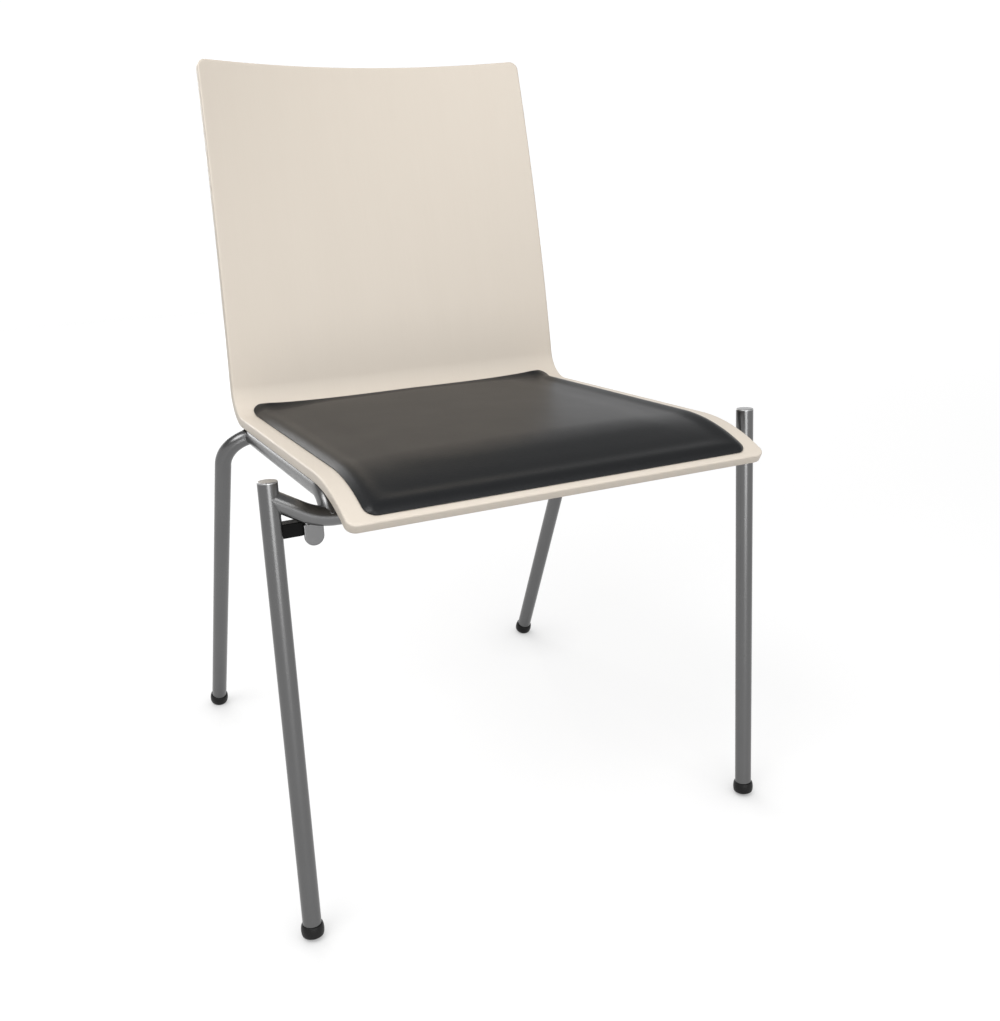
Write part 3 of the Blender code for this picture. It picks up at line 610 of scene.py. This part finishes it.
def draw_tube(name, corners, bend_r):
    """A tube along straight runs from corner to corner, with a round bend at each inner one."""
    corners = [Vector(corner) for corner in corners]
    here = corners[0]
    facing = (corners[1] - here).to_track_quat("Z", "Y").to_euler()
    bpy.ops.object.select_all(action="DESELECT")
    bpy.ops.mesh.primitive_circle_add(
        vertices=TUBE_SIDES, radius=TUBE_R, fill_type="NGON", location=here, rotation=facing
    )
    tube = opened(name)
    for corner, after in zip(corners[1:], corners[2:]):
        back, on = (here - corner).normalized(), (after - corner).normalized()
        half_turn = (pi - back.angle(on)) / 2
        bend_from = corner + back * bend_r * tan(half_turn)
        centre = corner + (back + on).normalized() * bend_r / cos(half_turn)
        extrude(bend_from - here)
        steps = max(round(2 * half_turn / BEND_STEP), 2)
        bpy.ops.mesh.spin(steps=steps, angle=-2 * half_turn, center=centre, axis=on.cross(back))
        here = corner + on * bend_r * tan(half_turn)
    extrude(corners[-1] - here)
    closed()
    return tube


# %% [markdown]
# Where a tube ends on the side of another, the two are welded. The bead follows the saddle where the
# round surfaces meet. That line is worked out point by point, drawn as a curve with a round section,
# made a mesh, and joined to the tube whose end it holds. A ripple along it shows the welder's steps.

# %% Weld beads
WELD_R, WELD_POINTS = 0.0005, 120
RIPPLE, RIPPLES = 0.12, 30
WELL_BACK = 0.05


def add_weld(tube, end, heading, main, main_heading):
    """A bead where the end of a tube meets the side of another one, called main."""
    heading, main_heading = Vector(heading).normalized(), Vector(main_heading).normalized()
    side = heading.cross(main_heading).normalized()
    over = side.cross(heading)
    flat_heading = heading - main_heading * heading.dot(main_heading)
    curve = bpy.data.curves.new("weld", "CURVE")
    curve.dimensions = "3D"
    curve.bevel_depth = WELD_R
    curve.bevel_resolution = 3
    line = curve.splines.new("POLY")
    line.use_cyclic_u = True
    line.points.add(WELD_POINTS - 1)
    for i, point in enumerate(line.points):
        turn = 2 * pi * i / WELD_POINTS
        on_tube = Vector(end) + TUBE_R * (side * cos(turn) + over * sin(turn)) - heading * WELL_BACK
        away = on_tube - Vector(main)
        away -= main_heading * away.dot(main_heading)
        a, b = flat_heading.length_squared, away.dot(flat_heading)
        reach = (-b - sqrt(max(b * b - a * (away.length_squared - TUBE_R ** 2), 0))) / a
        point.co = (*(on_tube + heading * reach), 1)
        point.radius = 1 + RIPPLE * sin(RIPPLES * turn)
    bead = bpy.data.objects.new("weld", curve)
    bpy.context.scene.collection.objects.link(bead)
    only(bead)
    bpy.ops.object.convert(target="MESH")
    bpy.context.object.select_set(True)
    tube.select_set(True)
    bpy.context.view_layer.objects.active = tube
    bpy.ops.object.join()


# %% [markdown]
# The front legs are straight tubes that stand outside the shell and run on to seat height as posts.
# The rear legs and the tube between them are one length, bent to an upside-down U.

# %% Legs
SIDES = {"left": -1, "right": 1}
FRONT_LEAN, REAR_LEAN = radians(6.2), radians(20.7)
FRONT_UP = Vector((0, sin(FRONT_LEAN), cos(FRONT_LEAN)))
FRONT_X, REAR_X, LEG_END_Z = 0.2578, 0.2278, 0.0150
REAR_CROSS_Y, REAR_CROSS_Z, REAR_BEND_R = 0.1027, 0.4030, 0.034
for word, side in SIDES.items():
    foot = (side * FRONT_X, -0.2234, LEG_END_Z)
    top = (side * FRONT_X, -0.1768, 0.4440)
    leg = draw_tube("front_leg_tube_" + word, [foot, top], 0)
    handed_over(leg, steel_up, "frame_steel", "front_leg_" + word)

left_half = [(-REAR_X, 0.2493, LEG_END_Z), (-REAR_X, REAR_CROSS_Y, REAR_CROSS_Z)]
right_half = [(-x, y, z) for x, y, z in reversed(left_half)]
rear = draw_tube("rear_leg_tube", left_half + right_half, REAR_BEND_R)
handed_over(rear, steel_up, "frame_steel", "rear_leg_frame")

# %% [markdown]
# A cross tube joins the front legs under the seat. Its left end is bent up to the leg, clear of the
# seat's edge, and its right end runs straight. A rail under each side edge of the shell joins the
# front cross tube to the rear one, with its nose bent down to the front one.

# %% Cross tube and rails
CROSS_Y, CROSS_Z = -0.1810, 0.4055
CROSS_BEND_R, NOSE_BEND_R = 0.065, 0.025
LEG_JOINT = Vector((-FRONT_X, -0.1783, 0.4299))
CROSS_LOW = Vector((-0.2153, CROSS_Y, CROSS_Z))
CROSS_END = Vector((FRONT_X, CROSS_Y, CROSS_Z))
cross = draw_tube("front_cross_bar", [LEG_JOINT, CROSS_LOW, CROSS_END], CROSS_BEND_R)
add_weld(cross, LEG_JOINT, LEG_JOINT - CROSS_LOW, LEG_JOINT, FRONT_UP)
add_weld(cross, CROSS_END, (1, 0, 0), CROSS_END, FRONT_UP)
handed_over(cross, steel_across, "frame_steel", "front_cross_tube")

for word, side in SIDES.items():
    rear_end = Vector((side * 0.1963, REAR_CROSS_Y, REAR_CROSS_Z))
    nose = Vector((side * 0.2039, -0.1685, 0.4249))
    front_end = Vector((side * 0.2043, CROSS_Y, CROSS_Z))
    rail = draw_tube("side_rail_tube_" + word, [rear_end, nose, front_end], NOSE_BEND_R)
    add_weld(rail, rear_end, rear_end - nose, rear_end, (1, 0, 0))
    add_weld(rail, front_end, front_end - nose, front_end, (1, 0, 0))
    handed_over(rail, steel_along, "frame_steel", "side_rail_" + word)

# %% [markdown]
# Round parts such as caps, glides and screws are turned. A ring is added at the top of the profile
# and extruded down step by step, and each new ring is scaled to the radius that the profile has there.


# %% Turning
def turned(name, profile, sides):
    """A solid of (radius, height) rings from the top down, closed at both ends."""
    radius, height = profile[0]
    bpy.ops.object.select_all(action="DESELECT")
    bpy.ops.mesh.primitive_circle_add(
        vertices=sides, radius=radius, fill_type="NGON", location=(0, 0, height)
    )
    piece = opened(name)
    for next_radius, next_height in profile[1:]:
        extrude((0, 0, next_height - height))
        share = next_radius / radius
        bpy.ops.transform.resize(value=(share, share, 1), center_override=(0, 0, next_height))
        radius, height = next_radius, next_height
    closed()
    return piece


def leaning(place, lean):
    return Matrix.Translation(place) @ Matrix.Rotation(lean, 4, "X")


# %% [markdown]
# A flat steel disc closes each post. Its rim is slightly rounded, which leaves a fine line where it
# meets the tube.

# %% Post caps
STEM_R, DISC_T, CAP_H = 0.0067, 0.0015, 0.0115
CAP_Y, CAP_Z = -0.1766, 0.4454
cap_profile = [(0.0079, 0), (0.0082, 0), (0.0086, -0.0001), (0.0089, -0.0004), (TUBE_R, -0.0008)]
cap_profile += [(TUBE_R, -DISC_T), (STEM_R, -DISC_T), (STEM_R, -CAP_H)]
cap = turned("post_cap", cap_profile, TUBE_SIDES)
for word, side in SIDES.items():
    disc = copied(cap, "post_cap_" + word, leaning((side * FRONT_X, CAP_Y, CAP_Z), -FRONT_LEAN))
    handed_over(disc, steel_disc, "frame_steel", "front_leg_cap_" + word)
discard(cap)

# %% [markdown]
# Each leg stands on a black plastic glide: a bun with a stem pressed into the tube, a belly a little
# wider than the tube and a domed sole. The sole is worn flat where it stands, so the finished glide
# is cut off level with the floor: one cut adds the edges, the next clears what lies below them.

# %% Glides
SOLE_R, RIM_R, BELLY_R, SHOULDER_R = 0.016, 0.0098, 0.0111, 0.0094
BELLY_H, SHOULDER_H, STAND_H = -0.0074, -0.0007, 0.0154
RIM_TURN = asin(RIM_R / SOLE_R)
RIM_H = -SOLE_R * cos(RIM_TURN)
glide_profile = [(0.0060, 0.0176), (STEM_R, 0.0168), (STEM_R, SHOULDER_H)]
for turn in [pi / 2 * i / 8 for i in range(9)]:
    radius = SHOULDER_R + (BELLY_R - SHOULDER_R) * sin(turn)
    glide_profile.append((radius, BELLY_H + (SHOULDER_H - BELLY_H) * cos(turn)))
for turn in [pi / 2 * i / 6 for i in range(1, 7)]:
    radius = RIM_R + (BELLY_R - RIM_R) * cos(turn)
    glide_profile.append((radius, BELLY_H - (BELLY_H - RIM_H) * sin(turn)))
for share in (0.8, 0.6, 0.4, 0.2, 0.05):
    glide_profile.append((SOLE_R * sin(RIM_TURN * share), -SOLE_R * cos(RIM_TURN * share)))
glide = turned("glide", glide_profile, TUBE_SIDES)

FEET = {"front": (FRONT_X, -0.2233, -FRONT_LEAN), "rear": (REAR_X, 0.2492, REAR_LEAN)}
for end, (x, y, lean) in FEET.items():
    for word, side in SIDES.items():
        place = leaning((side * x, y, STAND_H), lean)
        bun = copied(glide, "glide_bun_" + end + "_" + word, place)
        bpy.ops.object.mode_set(mode="EDIT")
        slice_at((0, 0, 0), (0, 0, 1))
        bpy.ops.mesh.select_all(action="SELECT")
        bpy.ops.mesh.bisect(plane_co=(0, 0, 0), plane_no=(0, 0, 1), clear_inner=True, use_fill=True)
        closed()
        handed_over(bun, plastic, "black_plastic", "glide_" + end + "_" + word)
discard(glide)

# %% [markdown]
# A flat tongue with a round end hangs from the cross tube near the left leg, and a black plastic
# block sits behind the leg beside it. Both start as a cube at their size. Wide bevels round the ends
# and a fine bevel takes the sharpness off every edge.

# %% Lug and buffer
WIDE_FACE = 0.00003
BUFFER_Y, BUFFER_Z = -0.1818, 0.3978


def block(name, size, centre):
    bpy.ops.object.select_all(action="DESELECT")
    bpy.ops.mesh.primitive_cube_add(size=1, location=centre)
    bpy.context.object.scale = size
    return opened(name)


def along_z(edge):
    return abs((edge.verts[0].co - edge.verts[1].co).normalized().z) > 0.9


def round_corners(radius, steps, test):
    choose("EDGE", lambda edge: along_z(edge) and test(middle(edge)))
    bpy.ops.mesh.bevel(offset=radius, segments=steps, affect="EDGES")


def soften(width, steps):
    choose("EDGE", is_rim)
    bpy.ops.mesh.bevel(offset=width, segments=steps, affect="EDGES")
    choose("FACE", lambda face: face.calc_area() > WIDE_FACE)
    bpy.ops.mesh.inset(thickness=0.0003, use_individual=True)
    closed()


def on_front_legs(x, y, z):
    """A frame in the plane of the front legs: Y runs up the legs and Z points to the front."""
    return Matrix.Translation((x, y, z)) @ Matrix.Rotation(pi / 2 - FRONT_LEAN, 4, "X")


lug = block("link_tongue", size=(0.018, 0.0200, 0.003), centre=(0, -0.0140, 0))
round_corners(radius=0.00895, steps=14, test=lambda place: place.y < -0.02)
soften(width=0.0005, steps=3)
settled(lug, on_front_legs(-0.2206, CROSS_Y, CROSS_Z))
handed_over(lug, steel_plate, "frame_steel", "link_lug")

buffer = block("buffer_block", size=(0.0365, 0.0130, 0.014), centre=(0.01425, 0, -0.0088))
round_corners(radius=0.0064, steps=10, test=lambda place: True)
soften(width=0.0009, steps=3)
settled(buffer, on_front_legs(-FRONT_X, BUFFER_Y, BUFFER_Z))
handed_over(buffer, rubber, "black_plastic", "stack_buffer")

# %% [markdown]
# Under the seat, four plates welded to the rails carry the shell, and each has a machine screw with
# a hexagon socket. Four smaller screws with a cross recess hold the pad's board, and one holds the
# buffer. A head is turned, and its recess is cut by a Boolean with a small cutter.


# %% Screws
def screw(name, shank_r, head_r, head_h, length):
    """A screw with its tip up: a tapered tip, a plain shank and a round head from the face down."""
    profile = [(shank_r * 0.8, length), (shank_r, length - shank_r * 0.3), (shank_r, 0)]
    profile += [(head_r * 0.96, 0), (head_r, -head_h * 0.12)]
    for turn in [pi / 2 * i / 7 for i in range(1, 7)]:
        profile.append((head_r * cos(turn), -head_h * (0.45 + 0.55 * sin(turn))))
    return turned(name, profile, sides=32)


def combine(piece, operation, other):
    """Unite a piece with another one or cut the other out of it, and throw the other away."""
    only(piece)
    boolean = piece.modifiers.new("combine", "BOOLEAN")
    boolean.operation = operation
    boolean.object = other
    boolean.solver = "EXACT"
    bpy.ops.object.modifier_apply(modifier="combine")
    discard(other)
    return piece


def cross_cutter(width, reach, low, high):
    arms = []
    for size in ((width, 2 * reach, high - low), (2 * reach, width, high - low)):
        arms.append(block("arm", size, (0, 0, (low + high) / 2)))
        closed()
    return combine(arms[0], "UNION", arms[1])


wood_screw = screw("wood_screw", shank_r=0.0020, head_r=0.0040, head_h=0.0024, length=0.0128)
cross_recess = cross_cutter(width=0.0009, reach=0.0021, low=-0.0040, high=-0.0010)
combine(wood_screw, "DIFFERENCE", cross_recess)
machine_screw = screw("machine_screw", shank_r=0.0030, head_r=0.0052, head_h=0.0033, length=0.0125)
socket_recess = turned("socket", [(0.0023, -0.0014), (0.0023, -0.0050)], sides=6)
combine(machine_screw, "DIFFERENCE", socket_recess)
for master in (wood_screw, machine_screw):
    print(master.name, "has", len(master.data.polygons), "faces")

# %% [markdown]
# The screws stand square to the shell: the pad's ones on its underside, the machine screws under the
# plates. The one for the buffer comes from behind.

# %% Screws in their places
UNDER_SHELL, UNDER_PLATE = -SHELL_T - 0.0003, -SHELL_T - 0.0036
PAD_SCREWS = [(x, run) for x in (-0.105, 0.105) for run in (0.1422, 0.3222)]
PLATES = [(side * x, run) for side in (-1, 1) for x, run in ((0.2021, 0.1642), (0.1978, 0.3142))]
SCREW_IN = 0.024


def on_shell(x, run, height):
    return leaning(pressed(x, run, height), press_line(run)[2])


for number, (x, run) in enumerate(PAD_SCREWS, 1):
    piece = copied(wood_screw, "pad_fixing_%d" % number, on_shell(x, run, UNDER_SHELL))
    handed_over(piece, zinc, "zinc_fasteners", "pad_screw_%d" % number)
behind_buffer = on_front_legs(-0.2553, BUFFER_Y, BUFFER_Z) @ Matrix.Translation((0, 0, -0.0161))
piece = copied(wood_screw, "buffer_fixing", behind_buffer)
handed_over(piece, zinc, "zinc_fasteners", "buffer_screw")

for number, (x, run) in enumerate(PLATES, 1):
    inwards = -SCREW_IN if x > 0 else SCREW_IN
    piece = copied(machine_screw, "plate_fixing_%d" % number, on_shell(x + inwards, run, UNDER_PLATE))
    handed_over(piece, zinc, "zinc_fasteners", "shell_screw_%d" % number)
discard(wood_screw)
discard(machine_screw)

# %% [markdown]
# A plate is a cube at its size with its free corners rounded. It reaches into the rail's side, where
# it is welded.

# %% Plates
PLATE_L, PLATE_W, PLATE_T = 0.034, 0.024, 0.003
plate = block("rail_plate", (PLATE_L, PLATE_W, PLATE_T), (-PLATE_L / 2, 0, -PLATE_T / 2))
round_corners(radius=0.005, steps=6, test=lambda place: place.x < -0.02)
soften(width=0.0004, steps=2)
for number, (x, run) in enumerate(PLATES, 1):
    face_in = Matrix.Rotation(0 if x > 0 else pi, 4, "Z")
    piece = copied(plate, "rail_plate_%d" % number, on_shell(x, run, UNDER_SHELL) @ face_in)
    handed_over(piece, steel_plate, "frame_steel", "shell_bracket_%d" % number)
discard(plate)

# %% [markdown]
# The nuts in the shell and the board in the pad are hidden when the chair is whole. Their shapes in
# the engineering model are right as they are, so they stay and only get their finishes.

# %% Hidden pieces
hidden_finishes = {"shell_nut_%d" % number: zinc for number in range(1, 5)}
hidden_finishes["pad_board"] = hardboard
for name, finish in hidden_finishes.items():
    for material_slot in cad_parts[name].material_slots:
        material_slot.material = finish
print("hidden pieces finished", list(hidden_finishes))

# %% [markdown]
# The chair stands on a white floor that curves up to a low white wall all round. Where the camera
# or a shiny surface sees it, the floor glows as well, up to plain white. The glow throws no light on
# the chair. Within a few centimetres of a foot the glow is dimmed: a painted shadow round each foot.

# %% Floor
WALL_H = 3.5
LIT_GREY, SEEN_GREY = (0.25, 0.25, 0.25), (0.30, 0.30, 0.30)
GLOW, GLOW_MORE_FAR = 0.76, 0.20
PAINTED_SHADOW_REACH, GLOW_IN_PAINTED_SHADOW = 0.08, 0.3


def seen_directly(shade):
    """1 for rays from the camera, a mirror or glass, and 0 for the light that falls on things."""
    camera_ray = shade.node("LightPath", {}, {}, "Is Camera Ray")
    outputs = camera_ray.socket.node.outputs
    glossy_ray = Shade(shade.tree, outputs["Is Glossy Ray"])
    through_ray = Shade(shade.tree, outputs["Is Transmission Ray"])
    return shade.maths("MINIMUM", camera_ray + glossy_ray + through_ray, 1)


sweep = [(10.0, WALL_H), (9.9, 1.3), (9.5, 0.55), (8.8, 0.12), (8.0, 0)]
floor = turned("floor", sweep, sides=96)
bpy.ops.object.mode_set(mode="EDIT")
choose("FACE", lambda face: middle(face).z > WALL_H - 0.1)
bpy.ops.mesh.delete(type="ONLY_FACE")
bpy.ops.mesh.select_all(action="SELECT")
bpy.ops.mesh.flip_normals()
bpy.ops.object.mode_set(mode="OBJECT")


def stage_finish():
    """White at a strength of about 1 where it is seen. Near the chair the lamps give a part of it."""
    material, shade = new_finish("white_floor", Roughness=0.9, Specular_IOR_Level=0.0)
    seen = seen_directly(shade)
    wire(material, Base_Color=mix_colour(shade, seen, LIT_GREY, SEEN_GREY))
    place = shade.node("TexCoord", {}, {}, "Object")
    far = shade.node("VectorMath", {"operation": "LENGTH"}, {0: place}, "Value")
    from_to = {"Value": far, "From Min": 1.0, "From Max": 5.0}
    away = shade.node("MapRange", {"interpolation_type": "SMOOTHSTEP"}, from_to)
    # Ambient occlusion dims the glow near the feet, down to a share of it: a painted contact shadow on
    # the floor.
    ao_for_painted_shadow = shade.node("AmbientOcclusion", {"samples": 8}, {"Distance": PAINTED_SHADOW_REACH}, "AO")
    clear = GLOW_IN_PAINTED_SHADOW + (1 - GLOW_IN_PAINTED_SHADOW) * ao_for_painted_shadow
    glow = seen * (GLOW + GLOW_MORE_FAR * away) * clear
    white = shade.node("Emission", {}, {"Color": (1, 1, 1, 1), "Strength": glow})
    nodes = material.node_tree.nodes
    lit = Shade(material.node_tree, nodes["Principled BSDF"].outputs[0])
    both = shade.node("AddShader", {}, {0: lit, 1: white})
    material.node_tree.links.new(both.socket, nodes["Material Output"].inputs["Surface"])
    return material


floor.data.materials.append(stage_finish())
print("floor", floor.dimensions[:])

# %% [markdown]
# The light is plain and soft. An even room fills the shadows. A large lamp high on the left makes
# the right half of the hollow back a little brighter than the left. Three weaker ones in front
# light the back evenly, and the lowest draws a streak down the legs. The last one, behind the
# chair, lights the rails and the back of the shell.

# %% Light
world = bpy.data.worlds.new("plain_room")
world.use_nodes = True
bpy.context.scene.world = world
room = world.node_tree.nodes["Background"]
room.inputs["Color"].default_value = (1, 1, 1, 1)
room.inputs["Strength"].default_value = 0.42


def lamp(name, place, target, size, power):
    aim = (Vector(target) - Vector(place)).to_track_quat("-Z", "Y").to_euler()
    bpy.ops.object.light_add(type="AREA", location=place, rotation=aim)
    light = bpy.context.object
    light.name = name
    light.data.shape = "RECTANGLE"
    light.data.size, light.data.size_y = size
    light.data.energy = power
    light.visible_camera = False


lamp("left", place=(-1.5, -0.7, 2.45), target=(0, 0, 0.5), size=(1.4, 1.2), power=34)
lamp("right", place=(1.0, -2.28, 1.3), target=(-0.1, -0.1, 0.45), size=(0.9, 0.8), power=7)
lamp("high", place=(-0.3, -2.2, 1.9), target=(0, 0, 0.5), size=(1.4, 0.8), power=11)
lamp("front", place=(-0.42, -2.4, 0.42), target=(0, 0, 0.4), size=(1.1, 0.8), power=13)
lamp("back", place=(0, 2.6, 1.3), target=(0, 0, 0.5), size=(1.9, 1.8), power=36)
bpy.context.scene.view_settings.view_transform = "Standard"
print("lamps set")
